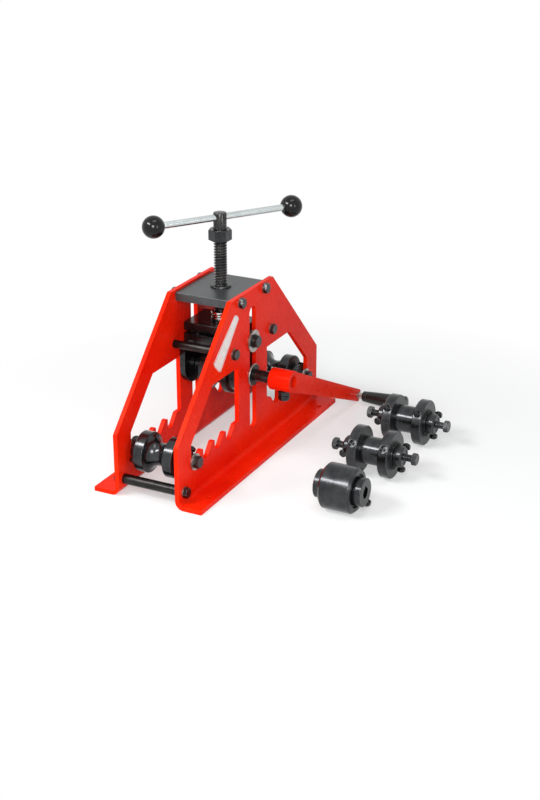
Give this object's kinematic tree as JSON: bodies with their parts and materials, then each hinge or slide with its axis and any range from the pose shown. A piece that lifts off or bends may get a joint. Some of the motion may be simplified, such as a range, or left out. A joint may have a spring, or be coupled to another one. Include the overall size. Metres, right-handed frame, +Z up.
{
  "type": "ring roller",
  "caption": "Hand-cranked bench ring roller: notched red side plates, a screw-fed driven centre roller between grooved side rollers, and spare roller sets beside it.",
  "frame": {"origin": "centre of the rectangle of foot bolt holes, on the floor under the side plates' flanges", "axes": "+X along the side plates, -Y towards the crank, +Z up along the feed screw"},
  "size_m": [0.5811, 0.4872, 0.455],
  "materials": {
    "red_paint": "satin powder coat",
    "black_steel": "black oxide",
    "bearing_steel": "ground",
    "bright_zinc": "zinc plated",
    "black_knob": "polished",
    "black_grip": "moulded",
    "bush_bronze": "machined"
  },
  "bodies": {
    "frame": {"near_side_plate": "red_paint", "far_side_plate": "red_paint", "top_plate": "black_steel", "screw_nut": "black_steel", "upper_spacers": "black_steel", "lower_spacers": "black_steel", "frame_bolts": "black_steel", "frame_washers": "black_steel"},
    "carriage": {"yoke": "black_steel", "pressure_plate": "black_steel", "yoke_screws": "black_steel", "guide_bushes": "black_steel", "guide_bolts": "black_steel", "shaft_bushes": "black_steel", "thrust_lower_race": "bearing_steel", "thrust_ball_cage": "bearing_steel"},
    "feed_screw": {"lead_screw": "black_steel", "screw_lock_nut": "black_steel", "screw_collar": "black_steel", "thrust_upper_race": "bearing_steel"},
    "tommy_bar": {"tommy_bar": "bright_zinc", "left_ball_knob": "black_knob", "right_ball_knob": "black_knob"},
    "drive": {"drive_shaft": "black_steel", "roller_key": "black_steel", "centre_roller": "black_steel", "roller_screw": "black_steel", "shaft_collar": "black_steel", "crank_hub": "red_paint", "crank_arm": "red_paint", "crank_screw": "black_steel", "grip_spindle": "black_steel", "spindle_nut": "black_steel"},
    "grip": {"crank_grip": "black_grip"},
    "left_axle": {"left_axle": "black_steel", "left_collars": "black_steel", "left_collar_screws": "black_steel", "left_axle_bolts": "black_steel"},
    "left_roller": {"left_roller": "black_steel", "left_roller_bushes": "bush_bronze"},
    "right_axle": {"right_axle": "black_steel", "right_collars": "black_steel", "right_collar_screws": "black_steel", "right_axle_bolts": "black_steel"},
    "right_roller": {"right_roller": "black_steel", "right_roller_bushes": "bush_bronze"},
    "spare_front": {"spare_front_axle": "black_steel", "spare_front_collars": "black_steel", "spare_front_fasteners": "black_steel"},
    "spare_front_drum": {"spare_front_core": "black_steel", "spare_front_discs": "black_steel", "spare_front_disc_screws": "black_steel"},
    "spare_rear": {"spare_rear_axle": "black_steel", "spare_rear_collars": "black_steel", "spare_rear_fasteners": "black_steel"},
    "spare_rear_drum": {"spare_rear_core": "black_steel", "spare_rear_discs": "black_steel", "spare_rear_disc_screws": "black_steel"},
    "spare_centre": {"spare_centre_roller": "black_steel", "spare_roller_screw": "black_steel"}
  },
  "joints": [
    {"name": "screw_turn", "type": "hinge", "parent": "carriage", "child": "feed_screw", "pos_m": [0, 0, 0.35], "axis": [0, 0, 1], "range_deg": [-5760, 1800]},
    {"name": "carriage_feed", "type": "slide", "parent": "frame", "child": "carriage", "axis": [0, 0, 1], "range_m": [-0.0802, 0.0252]},
    {"name": "tommy_slide", "type": "slide", "parent": "feed_screw", "child": "tommy_bar", "axis": [0.829, -0.5592, 0], "range_m": [-0.11, 0.094]},
    {"name": "drive_turn", "type": "hinge", "parent": "carriage", "child": "drive", "pos_m": [0, 0, 0.15], "axis": [0, -1, 0], "continuous": true},
    {"name": "grip_turn", "type": "hinge", "parent": "drive", "child": "grip", "pos_m": [0.29256, -0.2, 0.0155], "axis": [0, -1, 0], "continuous": true},
    {"name": "left_lift", "type": "slide", "parent": "frame", "child": "left_axle", "axis": [0, 0, 1], "range_m": [0, 0.03]},
    {"name": "left_spin", "type": "hinge", "parent": "left_axle", "child": "left_roller", "pos_m": [-0.2185, 0, 0.0687], "axis": [0, -1, 0], "continuous": true},
    {"name": "right_lift", "type": "slide", "parent": "frame", "child": "right_axle", "axis": [0, 0, 1], "range_m": [0, 0.03]},
    {"name": "right_spin", "type": "hinge", "parent": "right_axle", "child": "right_roller", "pos_m": [0.2185, 0, 0.0687], "axis": [0, -1, 0], "continuous": true},
    {"name": "spare_front_lift", "type": "slide", "parent": "frame", "child": "spare_front", "axis": [0, 0, 1], "range_m": [0, 0.2]},
    {"name": "spare_front_spin", "type": "hinge", "parent": "spare_front", "child": "spare_front_drum", "pos_m": [0.0105, -0.301, 0.0425], "axis": [0, -1, 0], "continuous": true},
    {"name": "spare_rear_lift", "type": "slide", "parent": "frame", "child": "spare_rear", "axis": [0, 0, 1], "range_m": [0, 0.2]},
    {"name": "spare_rear_spin", "type": "hinge", "parent": "spare_rear", "child": "spare_rear_drum", "pos_m": [0.169, -0.301, 0.0425], "axis": [0, -1, 0], "continuous": true},
    {"name": "spare_centre_lift", "type": "slide", "parent": "frame", "child": "spare_centre", "axis": [0, 0, 1], "range_m": [0, 0.2]}
  ],
  "couplings": [
    {"joint": "carriage_feed", "follows": "screw_turn", "m_per_rad": 0.00079577}
  ]
}
